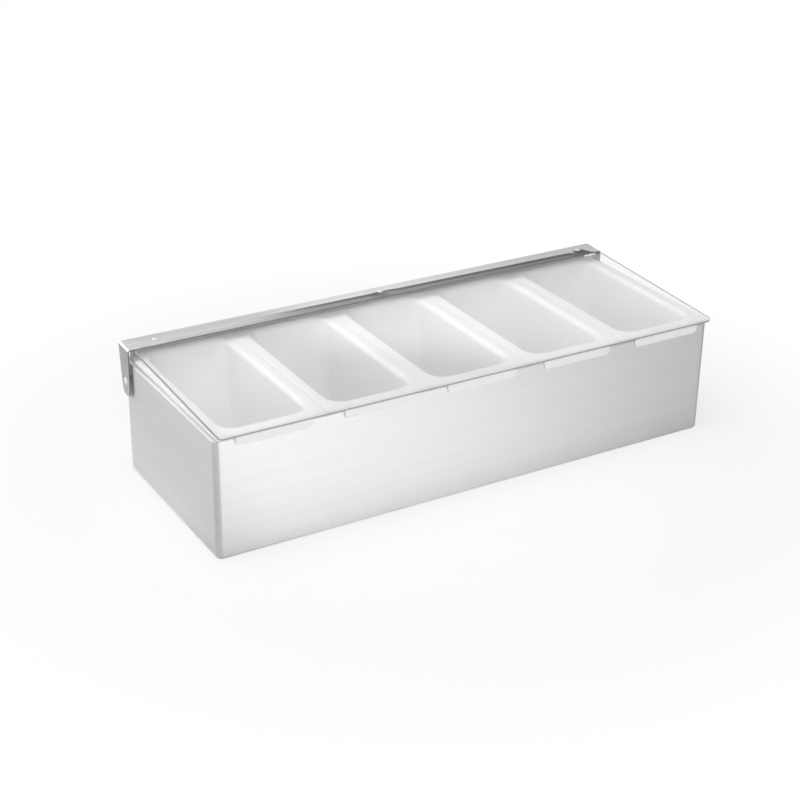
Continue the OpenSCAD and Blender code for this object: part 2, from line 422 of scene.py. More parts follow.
@dataclass(frozen=True)
class CutAcrylic:
    """The sawn and scraped edge of the acrylic: frosted, with the saw's marks across it. Its lower part is
    painted darker, a painted shade for the shadow under the sheet."""

    name: str
    light: str
    painted_shade: str
    pivot: "Pivot"
    # How far up from the sheet's underside the painted shade reaches, and how softly it ends
    split: float
    blend: float = 0.3
    roughness: float = 0.42
    roughness_spread: float = 0.1
    index: float = 1.49
    mark_pitch: float = 1.6
    mark_depth: float = 0.05

    def build(self) -> Material:
        """Makes the material.

        Returns:
            The material.
        """
        material, tree = new_material(self.name)
        place = add_node(tree, "ShaderNodeTexCoord").outputs["Object"]
        marks = add_node(tree, "ShaderNodeTexNoise", Vector=place, Scale=1 / (self.mark_pitch * MM),
                         Detail=3.0).outputs[0]
        smooth, coarse = self.roughness - self.roughness_spread, self.roughness + self.roughness_spread
        rough = add_node(tree, "ShaderNodeMapRange", Value=marks, To_Min=smooth, To_Max=coarse).outputs[0]
        bump = add_node(tree, "ShaderNodeBump", Strength=0.2, Distance=self.mark_depth * MM,
                        Height=marks).outputs[0]
        slope = math.radians(self.pivot.slope)
        height = add_node(tree, "ShaderNodeVectorMath", {"operation": "DOT_PRODUCT", "in": {
            0: place, 1: (0.0, -math.sin(slope), math.cos(slope))}}).outputs["Value"]
        middle = self.pivot.lid_level + self.split
        part = add_node(tree, "ShaderNodeMapRange", Value=height, From_Min=(middle - self.blend) * MM,
                        From_Max=(middle + self.blend) * MM).outputs[0]
        # Painted shade: below the split height the edge's colour turns to the darker tone
        colour = add_node(tree, "ShaderNodeMix", {"data_type": "RGBA", "in": {
            0: part, 6: linear(self.painted_shade), 7: linear(self.light)}}).outputs[2]
        shader = add_node(tree, "ShaderNodeBsdfPrincipled", Base_Color=colour, Roughness=rough,
                          IOR=self.index, Normal=bump)
        add_node(tree, "ShaderNodeOutputMaterial", Surface=shader.outputs[0])
        return material


@dataclass(frozen=True)
class Finishes:
    """Every material of the caddy, built once."""

    wall: Material
    bar: Material
    sheared: Material
    rivet: Material
    plastic: Material
    clear: Material
    front_edge: Material
    side_edge: Material

    @classmethod
    def build(cls, pivot: "Pivot") -> "Finishes":
        """Builds the materials.

        Args:
            pivot: where the lid lies, which its edges' shading follows.

        Returns:
            The caddy's materials.
        """
        return cls(
            wall=BrushedSteel("brushed_stainless_wall", Grain.LEVEL).build(),
            bar=BrushedSteel("brushed_stainless_bar", Grain.LENGTHWISE, colour="#e6e6e7", roughness=0.12,
                             anisotropy=0.2, scratch_pitch=1.6, streak=0.1).build(),
            # The bar's front and back edge faces: a duller steel than the top, and darker still as painted
            # shade for the dark line along the bar's edges
            sheared=BrushedSteel("sheared_stainless_edge_painted_shade", Grain.LENGTHWISE, colour="#8f9192", roughness=0.4,
                                 anisotropy=0.0, streak=0.06).build(),
            rivet=TumbledSteel().build(),
            plastic=MouldedPlastic().build(),
            clear=ClearAcrylic().build(),
            # Painted shade: each edge is darker below, and the end edges' whole tone is a darker, shaded copy
            # of the front edge's
            front_edge=CutAcrylic("sawn_acrylic_front_edge_painted_shade", "#f2f2f2", "#a2a2a2", pivot, split=1.5).build(),
            side_edge=CutAcrylic("sawn_acrylic_side_edge_painted_shade", "#b2b2b2", "#9a9a9a", pivot, split=1.2).build(),
        )


# ---------- geometry nodes ----------


class NodeShape:
    """A Geometry Nodes tree that makes one piece from an outline given as a mesh of edges."""

    # Points closer than this are one point, in millimetres
    merge = 0.002

    def __init__(self, name: str, sizes: dict[str, float]) -> None:
        """Starts a tree with an outline, a material and named sizes as its inputs.

        Args:
            name: the tree's name.
            sizes: each size that the tree takes, in metres or as a count.
        """
        self.name = name
        self.sizes = sizes
        self.tree = bpy.data.node_groups.new(name, "GeometryNodeTree")
        face = self.tree.interface
        face.new_socket("Outline", in_out="INPUT", socket_type="NodeSocketGeometry")
        self.keys = {}
        for size, value in sizes.items():
            kind = "NodeSocketInt" if isinstance(value, int) else "NodeSocketFloat"
            self.keys[size] = face.new_socket(size, in_out="INPUT", socket_type=kind).identifier
        finish = face.new_socket("Finish", in_out="INPUT", socket_type="NodeSocketMaterial")
        self.finish_key = finish.identifier
        face.new_socket("Piece", in_out="OUTPUT", socket_type="NodeSocketGeometry")
        self.inputs = self.tree.nodes.new("NodeGroupInput").outputs

    def add(self, kind: str, settings: dict[str, Any] | None = None, **inputs: Any) -> bpy.types.Node:
        """Adds a node to the tree."""
        return add_node(self.tree, kind, settings, **inputs)

    def close(self, shape: Socket) -> None:
        """Ends the tree: merged points, real geometry and the material.

        Args:
            shape: the finished geometry.
        """
        real = self.add("GeometryNodeRealizeInstances", Geometry=shape).outputs[0]
        merged = self.add("GeometryNodeMergeByDistance", Geometry=real, Distance=self.merge * MM).outputs[0]
        dressed = self.add("GeometryNodeSetMaterial", Geometry=merged,
                           Material=self.inputs["Finish"]).outputs[0]
        self.add("NodeGroupOutput", Piece=dressed)

    def make(self, outline: Sequence[Pair], closed: bool, finish: Material) -> Object:
        """Runs the tree on an outline.

        Args:
            outline: the outline's points, out from the path and up, in millimetres.
            closed: whether its last point joins its first.
            finish: the piece's material.

        Returns:
            A plain mesh object with the result.
        """
        count = len(outline)
        edges = [(i, i + 1) for i in range(count - 1)] + ([(count - 1, 0)] if closed else [])
        data = bpy.data.meshes.new(self.name + "_outline")
        # A swept outline's x points away from its path's middle and its y points down
        data.from_pydata([(out * MM, -up * MM, 0) for out, up in outline], edges, [])
        source = linked(self.name + "_outline", data)
        modifier = source.modifiers.new(self.name, "NODES")
        modifier.node_group = self.tree
        for size, key in self.keys.items():
            modifier[key] = self.sizes[size]
        modifier[self.finish_key] = finish
        ready = source.evaluated_get(bpy.context.evaluated_depsgraph_get())
        result = bpy.data.meshes.new_from_object(ready)
        bpy.data.objects.remove(source)
        mesh = bmesh.new()
        mesh.from_mesh(result)
        materials = list(result.materials)
        bpy.data.meshes.remove(result)
        return finished(mesh, self.name, materials)


# ---------- the housing ----------


@dataclass
class Housing:
    """The folded stainless box: four walls in one band, with a ledge at the top and a turned-in foot."""

    length: float = 460.0
    depth: float = 172.0
    height: float = 100.0
    sheet: float = 0.8
    corner: float = 5.0
    corner_steps: int = 20
    foot_fold: float = 1.6
    ledge_fold: float = 1.4
    # The turned-in edges stop short of the corners' centres, so that they don't cross there
    turned_in: float = 4.9
    fold_steps: int = 6
    # The back wall stands up past the ledge, behind the trays' flanges, as a strip seated in the fold
    back_rise: float = 5.3
    strip_seat: float = 1.0
    strip_inset: float = 0.1
    strip_bevel: float = 0.15

    def section(self) -> list[Pair]:
        """Draws the wall's section.

        Returns:
            A closed outline: x runs inwards from the outside face, y is height.
        """
        sheet, foot, ledge, top = self.sheet, self.foot_fold, self.ledge_fold, self.height
        outside = arc((foot, sheet + foot), foot, 270, 180, self.fold_steps)
        outside += arc((ledge, top - ledge), ledge, 180, 90, self.fold_steps)
        outside += [(self.turned_in, top), (self.turned_in, top - sheet)]
        inside = arc((ledge, top - ledge), ledge - sheet, 90, 180, self.fold_steps)
        inside += arc((foot, sheet + foot), foot - sheet, 180, 270, self.fold_steps)
        return outside + inside + [(self.turned_in, 2 * sheet), (self.turned_in, sheet)]

    def build(self, finishes: Finishes) -> None:
        """Builds the wall band and dresses the base plate.

        Args:
            finishes: the caddy's materials.
        """
        shape = NodeShape("housing_walls", {
            "Length": self.length * MM, "Depth": self.depth * MM, "Corner Radius": self.corner * MM,
            "Corner Steps": self.corner_steps})
        path = shape.add("GeometryNodeCurvePrimitiveQuadrilateral", Width=shape.inputs["Length"],
                         Height=shape.inputs["Depth"]).outputs[0]
        path = shape.add("GeometryNodeFilletCurve", {"mode": "POLY"}, Curve=path,
                         Count=shape.inputs["Corner Steps"], Radius=shape.inputs["Corner Radius"]).outputs[0]
        path = shape.add("GeometryNodeSetCurveNormal", {"mode": "Z_UP"}, Curve=path).outputs[0]
        section = shape.add("GeometryNodeMeshToCurve", Mesh=shape.inputs["Outline"]).outputs[0]
        swept = shape.add("GeometryNodeCurveToMesh", {"in": {"Curve": path, "Profile Curve": section}})
        shape.close(swept.outputs[0])
        walls = shape.make([(-x, z) for x, z in self.section()], True, finishes.wall)
        self.add_stop(walls)
        hand_over(walls, Body.HOUSING, Slot.SHEET, "wall_band")
        dress_node("base_plate", finishes.wall)

    def add_stop(self, walls: Object) -> None:
        """Stands the back wall's upper edge on the ledge's fold.

        Args:
            walls: the wall band, whose mesh the strip is added to.
        """
        half, top, bevel = self.length / 2 - self.corner, self.height + self.back_rise, self.strip_bevel
        front, back = self.depth / 2 - self.sheet, self.depth / 2 - self.strip_inset
        rings = []
        for inset, z in ((0.0, self.height - self.strip_seat), (0.0, top - bevel), (bevel, top)):
            x, near, far = half - inset, front + inset, back - inset
            rings.append([(-x, near, z), (x, near, z), (x, far, z), (-x, far, z)])
        mesh = bmesh.new()
        mesh.from_mesh(walls.data)
        loft(mesh, rings)
        bmesh.ops.recalc_face_normals(mesh, faces=mesh.faces)
        mesh.to_mesh(walls.data)
        mesh.free()


def dress_node(name: str, material: Material) -> None:
    """Gives a CAD node that stays in view its material.

    Args:
        name: the node's name.
        material: its material.
    """
    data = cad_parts[name].data
    data.materials.clear()
    data.materials.append(material)
    log.info("%s: CAD node, dressed in %s", name, material.name)


# ---------- the trays ----------


@dataclass
class TrayRow:
    """Five deep white trays side by side: each hangs by its flange and hooks over the front wall."""

    count: int = 5
    pitch: float = 91.5
    # How far right of the housing's middle the row's middle lies
    shift: float = 2.0
    width: float = 91.44
    depth: float = 172.0
    top: float = 101.5
    flange: float = 1.5
    flange_corner: float = 2.6
    # Room for the back wall's raised edge behind the flanges
    back_gap: float = 1.1
    edge_round: float = 0.35
    opening_width: float = 68.4
    # How far the opening reaches forward and back from the housing's middle
    opening_front: float = 73.5
    opening_back: float = 77.4
    opening_corner: float = 12.5
    lip_round: float = 4.5
    inside_depth: float = 82.0
    draft: float = 4.0
    # How much further the back wall leans in, from the opening to the floor
    back_lean: float = 14.0
    floor_fillet: float = 6.0
    fillet_steps: int = 8
    wall: float = 1.6
    # Outside, the wall widens by this under the flange
    root: float = 1.0
    # Outside, the foot's bend has one more level, this far in from the wall and above the floor
    foot_in: float = 1.8
    foot_up: float = 0.2
    least_corner: float = 0.5
    # The hook tab in front, and how far it stands clear of the housing's wall
    tab_width: float = 64.0
    tab_drop: float = 6.0
    tab_sheet: float = 1.4
    tab_clear: float = 0.3
    tab_corner: float = 3.0
    tab_corner_steps: int = 6
    tab_bend: float = 1.6
    # The tab's columns of faces keep this far from the corners of every ring
    tab_room: float = 0.5
    edge_bevel: float = 0.3
    edge_steps: int = 4
    corner_steps: int = 10

    def ring(self, half_x: float, front: float, back: float, radius: float, z: float) -> list[Point]:
        """Draws one level of the tray: a rounded rectangle with extra points along its front.

        Args:
            half_x: half its width.
            front: how far it reaches forward of the housing's middle.
            back: how far it reaches back from there.
            radius: its corner radius.
            z: its height.

        Returns:
            The ring, counterclockwise from the right end of the front edge's tab stations.
        """
        squeeze = min(1.0, (half_x - radius) / (self.tab_width / 2 + self.tab_room))
        points = [(x * squeeze, -front) for x, _ in self.stations()]
        near, far = -front + radius, back - radius
        for side, y, start in ((1, near, 270), (1, far, 0), (-1, far, 90), (-1, near, 180)):
            points += arc((side * (half_x - radius), y), radius, start, start + 90, self.corner_steps)
        return [(x, y, z) for x, y in points]

    def stations(self) -> list[Pair]:
        """Lists where the tab's columns of faces stand.

        Returns:
            Each column's x, and how far the tab's lower edge lies above its lowest line there; the
            first and last column are outside the tab and have -1.
        """
        half, corner = self.tab_width / 2, self.tab_corner
        right = arc((half - corner, corner), corner, 270, 360, self.tab_corner_steps)
        left = [(-x, up) for x, up in reversed(right)]
        return [(-half, -1.0)] + left + right + [(half, -1.0)]

    def levels(self) -> tuple[list[Point], list[Point]]:
        """Lists the tray's levels below its flange, from the floor's inside up and down the outside.

        Returns:
            The inside's and the outside's: for each level, how far it stands out from the opening,
            how far its back leans in, and z.
        """
        floor, under, lean = self.top - self.inside_depth, self.top - self.flange, self.back_lean
        fillet, lip, root, foot = self.floor_fillet, self.lip_round, self.root, self.wall - self.draft
        bend = arc((-self.draft - fillet, floor + fillet), fillet, 270, 360, self.fillet_steps)
        inside = [(out, lean, z) for out, z in bend]
        inside += [(out, 0.0, z) for out, z in arc((lip, self.top - lip), lip, 180, 90, self.fillet_steps)]
        outside = [
            (self.wall + root, 0.0, under), (self.wall, 0.0, under - root), (foot, lean, floor + fillet),
            (foot - self.foot_in, lean, floor + self.foot_up), (foot - fillet, lean, floor - self.wall)]
        return inside, outside

    def build_one(self, index: int, finish: Material) -> Object:
        """Builds one tray.

        Args:
            index: the tray's number, from 1 at the left.
            finish: the plastic.

        Returns:
            The tray, in its place.
        """
        inside, outside = (
            [self.ring(self.opening_width / 2 + out, self.opening_front + out, self.opening_back + out - lean,
                       max(self.opening_corner + out, self.least_corner), z) for out, lean, z in levels]
            for levels in self.levels())
        rings = inside + self.edge_rings() + outside
        offset = self.shift + (index - (self.count + 1) / 2) * self.pitch
        mesh = bmesh.new()
        loft(mesh, [[(x + offset, y, z) for x, y, z in ring] for ring in rings])
        return finished(mesh, f"garnish_tray_{index}", [finish])

    def edge_rings(self) -> list[list[Point]]:
        """Draws the rings that go round the flange's edge, and in front round the hook tab.

        Returns:
            The rings, from the flange's top face to its underside.
        """
        top, under, edge, bevel, steps = (
            self.top, self.top - self.flange, self.edge_round, self.edge_bevel, self.edge_steps)
        fall = (top - edge) - (under + bevel)
        plain = arc((-edge, top - edge), edge, 90, 0, steps)
        plain += [(0.0, top - edge - fall * i / (steps + 1)) for i in range(1, steps + 1)]
        plain += [(0.0, under + bevel), (-bevel, under)]
        half, corner = self.depth / 2, self.flange_corner
        rings = [self.ring(self.width / 2 + out, half + out, half - self.back_gap + out, corner + out, z)
                 for out, z in plain]
        clear, reach, bend = self.tab_clear, self.tab_clear + self.tab_sheet, self.tab_bend
        for column, (x, up) in enumerate(self.stations()):
            if up < 0:
                continue
            low = under - self.tab_drop + up
            hook = arc((reach - bend, top - bend), bend, 90, 0, steps)
            hook += [(reach, low + bevel), (reach - bevel, low), (clear + bevel, low)]
            hook += [(clear, low + bevel), (clear, under - bevel), (-bevel, under)]
            for ring, (out, z) in zip(rings, hook, strict=True):
                ring[column] = (x, -half - out, z)
        return rings

    def build(self, finishes: Finishes) -> None:
        """Builds the five trays.

        Args:
            finishes: the caddy's materials.
        """
        for index in range(1, self.count + 1):
            tray = self.build_one(index, finishes.plastic)
            hand_over(tray, Body.HOUSING, Slot.TRAYS, f"tray_{index}")


# ---------- the lid and its hinge bar ----------


@dataclass
class Pivot:
    """Where the lid's parts hang: they are drawn flat about the pivot, then turned by the lid's slope."""

    y: float = 79.0
    z: float = 82.5
    slope: float = 2.5
    lid_sheet: float = 2.5
    bar_sheet: float = 1.2
    # The rivets through bar and lid, from the left
    rivet_first: float = -205.0
    rivet_pitch: float = 209.0
    rivet_count: int = 3
    # The closed lid's underside touches the hook tabs along this line
    rest_y: float = -87.7
    rest_z: float = 101.6

    @property
    def lid_under(self) -> float:
        """Height of the lid's underside above the pivot."""
        slope = math.radians(self.slope)
        return (self.y - self.rest_y) * math.sin(slope) + (self.rest_z - self.z) * math.cos(slope)

    @property
    def lid_level(self) -> float:
        """Distance of the lid's underside from the world's origin, square to the closed sheet."""
        slope = math.radians(self.slope)
        return self.lid_under + self.z * math.cos(slope) - self.y * math.sin(slope)

    @property
    def rivets(self) -> list[float]:
        """Places of the rivets along the bar."""
        return [self.rivet_first + i * self.rivet_pitch for i in range(self.rivet_count)]

    @property
    def bar_top(self) -> float:
        """Height of the bar's top above the pivot."""
        return self.lid_under + self.lid_sheet + self.bar_sheet

    def place(self, obj: Object) -> Object:
        """Turns and moves a piece's mesh from the pivot's frame to its place on the closed caddy.

        Args:
            obj: the piece.

        Returns:
            The same piece.
        """
        turn = Matrix.Rotation(math.radians(self.slope), 4, "X")
        obj.data.transform(Matrix.Translation((0, self.y * MM, self.z * MM)) @ turn)
        return obj


@dataclass
class HingeBar:
    """The strip along the lid's back edge: slightly crowned between its rivets, with an ear at each end."""

    pivot: Pivot
    half_flat: float = 230.4
    ear_outer: float = 232.4
    bend: float = 2.0
    front: float = 7.0
    back: float = 13.0
    ear_radius: float = 7.5
    ear_drop: float = 5.5
    crown: float = 0.75
    # The crown turns into a straight ridge this near a rivet, where it keeps a share of its height
    ridge_reach: float = 9.0
    ridge_share: float = 0.9
    # It rises from nothing over this length at the ends
    end_reach: float = 14.0
    columns: int = 20
    edge: float = 0.25
    # Sections along the bar: evenly spaced ones, and closer ones this far either side of a rivet
    stretches: int = 120
    rivet_stretch: int = 8
    rivet_step: int = 2
    bend_steps: int = 8
    # Sections down the ear: from the bend by even steps, then at these angles below the round end's middle
    ear_steps: int = 6
    ear_step: float = 4.0
    tip_angles: tuple[float, ...] = (0, 15, 30, 45, 58, 68, 76, 82, 86, 89)

    def crown_at(self, x: float) -> Pair:
        """Gives the height of the crown at a place along the bar, and how sharp its ridge is.

        Args:
            x: the place.

        Returns:
            The crown's height there, and its sharpness: 0 for an even curve, 1 for a ridge at a rivet.
        """
        height = min(1.0, max(0.0, (self.half_flat - abs(x)) / self.end_reach))
        sharp = max(math.exp(-(((x - rivet) / self.ridge_reach) ** 4)) for rivet in self.pivot.rivets)
        return self.crown * height * height * (3 - 2 * height), sharp

    def rise(self, across: float, crown: Pair) -> float:
        """Gives the height of the crowned top at a place across the strip.

        Args:
            across: the place, 0 at the front edge and 1 at the back.
            crown: the crown's height and sharpness.

        Returns:
            The height above the edges.
        """
        height, sharp = crown
        off = abs(2 * across - 1)
        return height * ((1 - sharp) * (1 - off * off) + sharp * self.ridge_share * (1 - off))

    def ring(
        self, x: float, z: float, out: Pair, front: float, back: float, crown: Pair = (0.0, 0.0)
    ) -> list[Point]:
        """Draws the strip's section at one place.

        Args:
            x: the outside's place along the bar.
            z: its height.
            out: the outward direction there, in x and z.
            front: the front edge's y.
            back: the back edge's y.
            crown: the crown's height and sharpness.

        Returns:
            The section as a closed ring.
        """
        edge, depth = self.edge, self.pivot.bar_sheet
        across = [i / self.columns for i in range(self.columns + 1)]
        width = back - front
        inset = min(edge, width / 4)
        skin = [(front + inset + (width - 2 * inset) * t, self.rise(t, crown)) for t in across]
        path = skin + [(back, -edge), (back, edge - depth)]
        path += [(y, rise - depth) for y, rise in reversed(skin)] + [(front, edge - depth), (front, -edge)]
        return [(x + out[0] * rise, y, z + out[1] * rise) for y, rise in path]

    def back_edge(self, z: float) -> float:
        """Gives the ear's back edge at a height: a straight line from the bar to the round end.

        Args:
            z: the height above the pivot.

        Returns:
            The back edge's y.
        """
        top, radius, drop = self.pivot.bar_top - self.bend, self.ear_radius, self.ear_drop
        touch = math.atan2(top + drop, self.back) - math.acos(radius / math.hypot(self.back, top + drop))
        touch_y, touch_z = radius * math.cos(touch), -drop + radius * math.sin(touch)
        if z > touch_z:
            return touch_y + (self.back - touch_y) * (z - touch_z) / (top - touch_z)
        return self.tip(z)

    def tip(self, z: float) -> float:
        """Gives half the width of the ear's round end at a height."""
        return math.sqrt(max(self.ear_radius**2 - (z + self.ear_drop) ** 2, 0.0))

    def half(self, side: int) -> list[list[Point]]:
        """Draws the rings of one bend and ear, from the bar's end to the ear's tip.

        Args:
            side: 1 for the right, -1 for the left.

        Returns:
            The rings.
        """
        start, radius, drop = self.pivot.bar_top - self.bend, self.ear_radius, self.ear_drop
        rings = []
        for x, z in arc((self.half_flat, start), self.bend, 90, 0, self.bend_steps)[1:]:
            out = (side * (x - self.half_flat) / self.bend, (z - start) / self.bend)
            rings.append(self.ring(side * x, z, out, -self.front, self.back))
        heights = [start - self.ear_step * i for i in range(1, self.ear_steps + 1)]
        heights += [-drop - radius * math.sin(math.radians(angle)) for angle in self.tip_angles]
        for z in heights:
            front = -self.tip(z)
            if z > -drop:
                front = -radius + (radius - self.front) * (z + drop) / (start + drop)
            rings.append(self.ring(side * self.ear_outer, z, (float(side), 0.0), front, self.back_edge(z)))
        return rings

    def build(self, finishes: Finishes) -> None:
        """Builds the bar.

        Args:
            finishes: the caddy's materials.
        """
        even = {self.half_flat * (2 * i / self.stretches - 1) for i in range(self.stretches + 1)}
        near = range(-self.rivet_stretch, self.rivet_stretch + 1, self.rivet_step)
        places = sorted(even | {rivet + step for rivet in self.pivot.rivets for step in near})
        flat = [self.ring(x, self.pivot.bar_top, (0.0, 1.0), -self.front, self.back, self.crown_at(x))
                for x in places]
        mesh = bmesh.new()
        loft(mesh, list(reversed(self.half(-1))) + flat + self.half(1))
        mesh.normal_update()
        for face in mesh.faces:
            # The faces that look to the front or the back are the sheared edges, whose darker finish is
            # partly painted shade
            face.material_index = 1 if abs(face.normal.y) > 0.5 else 0
        bar = self.pivot.place(finished(mesh, "hinge_bar_crowned", [finishes.bar, finishes.sheared]))
        hand_over(bar, Body.LID, Slot.SHEET, "hinge_bar")


@dataclass
class Lid:
    """The clear lid: acrylic sheet with sawn edges, drilled for its rivets."""

    chamfer: float = 0.25
    # In the CAD panel's mesh, points closer than this are one, faces that turn by less than the flat
    # angle are one, and an edge between faces that turn by more than the sharp angle gets the chamfer
    merge: float = 0.001
    flat_angle: float = math.radians(0.5)
    sharp_angle: float = math.radians(60)

    def build(self, finishes: Finishes) -> None:
        """Builds the lid from the CAD panel, with broken edges and a finish of its own on them.

        Args:
            finishes: the caddy's materials.
        """
        mesh = bmesh.new()
        mesh.from_mesh(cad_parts["lid_panel"].data)
        bmesh.ops.remove_doubles(mesh, verts=mesh.verts, dist=self.merge * MM)
        bmesh.ops.dissolve_limit(mesh, angle_limit=self.flat_angle, verts=mesh.verts, edges=mesh.edges)
        sharp = [e for e in mesh.edges if len(e.link_faces) == 2 and e.calc_face_angle(0) > self.sharp_angle]
        bmesh.ops.bevel(mesh, geom=sharp, offset=self.chamfer * MM, segments=2, profile=0.5, affect="EDGES")
        mesh.normal_update()
        for face in mesh.faces:
            # The broad faces are clear; the front and back edge have one cut finish, the ends the same finish
            # painted darker as painted shade
            level, facing = abs(face.normal.z) > 0.99, abs(face.normal.y) > 0.5
            face.material_index = 0 if level else 1 if facing else 2
        bmesh.ops.triangulate(mesh, faces=[f for f in mesh.faces if len(f.verts) > 4])
        panel = finished(mesh, "clear_lid", [finishes.clear, finishes.front_edge, finishes.side_edge])
        # Its faces stay flat, because a clear sheet bends what lies behind it wherever its shading turns
        panel.data.shade_flat()
        hand_over(panel, Body.LID, Slot.LID, "lid_panel")


@dataclass
class Rivets:
    """The three rivets through the bar and the lid, with their backing washers, and the two pins that
    the ears swing on, with the washers behind them."""

    pivot: Pivot
    # The rivets' line, behind the pivot
    line: float = 3.0
    head: float = 2.9
    head_height: float = 1.3
    shank: float = 1.6
    backing: float = 5.0
    backing_sheet: float = 0.7
    backing_bevel: float = 0.1
    clinch: float = 2.56
    clinch_height: float = 0.9
    pin: float = 2.0
    pin_head: float = 3.2
    pin_clinch: float = 2.4
    washer: float = 3.4
    # Between end wall and ear, and the play on either side of the ear
    ear_gap: float = 1.2
    ear_sheet: float = 1.2
    play: float = 0.05
    wall_sheet: float = 0.8
    end_wall: float = 230.0
    turns: int = 48
    dome_steps: int = 8
    # An outline is swept round a ring as small as this, so that its pole closes
    axis: float = 0.0005

    def dome(self, radius: float, height: float, base: float, up: int) -> list[Pair]:
        """Draws a domed head's outline from its pole to its rim.

        Args:
            radius: the head's radius.
            height: its height.
            base: where it stands on the axis.
            up: 1 if it points up the axis, -1 if down.

        Returns:
            The outline, out from the axis and up.
        """
        ball = (radius * radius + height * height) / (2 * height)
        spread = math.degrees(math.asin(radius / ball))
        side = arc((0, base + up * (height - ball)), ball, up * 90, up * (90 - spread), self.dome_steps)
        return [(max(x, 0.0), z) for x, z in side]

    def spun(
        self, name: str, outline: list[Pair], finish: Material, count: int = 1, pitch: float = 0.0
    ) -> Object:
        """Turns an outline round its axis and sets copies of it in a row.

        Args:
            name: the piece's name.
            outline: the outline, out from the axis and up.
            finish: the piece's material.
            count: how many copies.
            pitch: the distance between them, along x.

        Returns:
            The row as one object, the first at the origin.
        """
        shape = NodeShape(name, {
            "Turns": self.turns, "Axis Radius": self.axis * MM, "Count": count, "Spacing": pitch * MM})
        ring = shape.add("GeometryNodeCurvePrimitiveCircle", {"mode": "RADIUS"},
                         Resolution=shape.inputs["Turns"], Radius=shape.inputs["Axis Radius"]).outputs[0]
        ring = shape.add("GeometryNodeSetCurveNormal", {"mode": "Z_UP"}, Curve=ring).outputs[0]
        side = shape.add("GeometryNodeMeshToCurve", Mesh=shape.inputs["Outline"]).outputs[0]
        head = shape.add("GeometryNodeCurveToMesh", {"in": {"Curve": ring, "Profile Curve": side}}).outputs[0]
        step = shape.add("ShaderNodeCombineXYZ", X=shape.inputs["Spacing"]).outputs[0]
        row = shape.add("GeometryNodeMeshLine", {"in": {
            "Count": shape.inputs["Count"], "Offset": step}}).outputs[0]
        shape.close(shape.add("GeometryNodeInstanceOnPoints", Points=row, Instance=head).outputs[0])
        return shape.make(outline, False, finish)

    def rivet_outline(self) -> list[Pair]:
        """Draws a lid rivet with its backing washer.

        Returns:
            The outline from the head's pole to the clinched end, out from the axis and up.
        """
        top, under, wide, bevel = self.pivot.bar_top, self.pivot.lid_under, self.backing, self.backing_bevel
        low = under - self.backing_sheet
        outline = self.dome(self.head, self.head_height, top, 1) + [(self.shank, top), (self.shank, under)]
        outline += [(wide - bevel, under), (wide, under - bevel), (wide, low + bevel), (wide - bevel, low)]
        return outline + list(reversed(self.dome(self.clinch, self.clinch_height, low, -1)))

    def pin_outline(self) -> list[Pair]:
        """Draws a pivot pin with its washer.

        Returns:
            The outline from the head's pole to the clinched end, out from the axis and away from the wall.
        """
        washer_top, reach = self.ear_gap - self.play, self.ear_gap + self.ear_sheet + self.play
        outline = self.dome(self.pin_head, self.head_height, reach, 1)
        outline += [(self.pin, reach), (self.pin, washer_top), (self.washer, washer_top), (self.washer, 0.0),
                    (self.pin, 0.0), (self.pin, -self.wall_sheet)]
        return outline + list(reversed(self.dome(self.pin_clinch, self.clinch_height, -self.wall_sheet, -1)))

    def build(self, finishes: Finishes) -> None:
        """Builds the rivets and the pins.

        Args:
            finishes: the caddy's materials.
        """
        pivot = self.pivot
        row = self.spun("lid_rivets", self.rivet_outline(), finishes.rivet, count=pivot.rivet_count,
                        pitch=pivot.rivet_pitch)
        row.data.transform(Matrix.Translation((pivot.rivet_first * MM, self.line * MM, 0)))
        pivot.place(row)
        places = ("left", "middle", "right")
        nodes = (f"{part}_{where}" for part in ("lid_rivet", "rivet_washer") for where in places)
        hand_over(row, Body.LID, Slot.FASTENERS, *nodes)
        for side, where in ((1, "right"), (-1, "left")):
            pin = self.spun(f"pivot_rivet_{where}", self.pin_outline(), finishes.rivet)
            pin.data.transform(Matrix.Rotation(side * math.pi / 2, 4, "Y"))
            pin.data.transform(Matrix.Translation(Vector((side * self.end_wall, pivot.y, pivot.z)) * MM))
            hand_over(pin, Body.HOUSING, Slot.FASTENERS, f"pivot_pin_{where}", f"pivot_washer_{where}")


# ---------- stage, light and camera ----------


@dataclass(frozen=True)
class Shade:
    """A grey that changes along two measures at once: a ramp over each, multiplied. A ramp's stops are
    places from -1 to 1 and greys, where 1 is white."""

    first: Stops
    second: Stops

    def add(self, tree: Tree, first: Socket, second: Socket) -> Socket:
        """Adds the shade's nodes.

        Args:
            tree: the nodes.
            first: the measure that the first ramp reads.
            second: the measure that the second ramp reads.

        Returns:
            The grey.
        """
        greys = {}
        for index, (measure, stops) in enumerate(((first, self.first), (second, self.second))):
            # A colour ramp reads 0 to 1
            place = add_node(tree, "ShaderNodeMath", {"operation": "MULTIPLY_ADD", "in": {
                0: measure, 1: 0.5, 2: 0.5}}).outputs[0]
            ramp = add_node(tree, "ShaderNodeValToRGB", Fac=place)
            marks = ramp.color_ramp.elements
            for at, grey in stops:
                marks.new((at + 1) / 2).color = (grey, grey, grey, 1)
            marks.remove(marks[0])
            marks.remove(marks[-1])
            greys[index] = ramp.outputs[0]
        return add_node(tree, "ShaderNodeMath", {"operation": "MULTIPLY", "in": greys}).outputs[0]


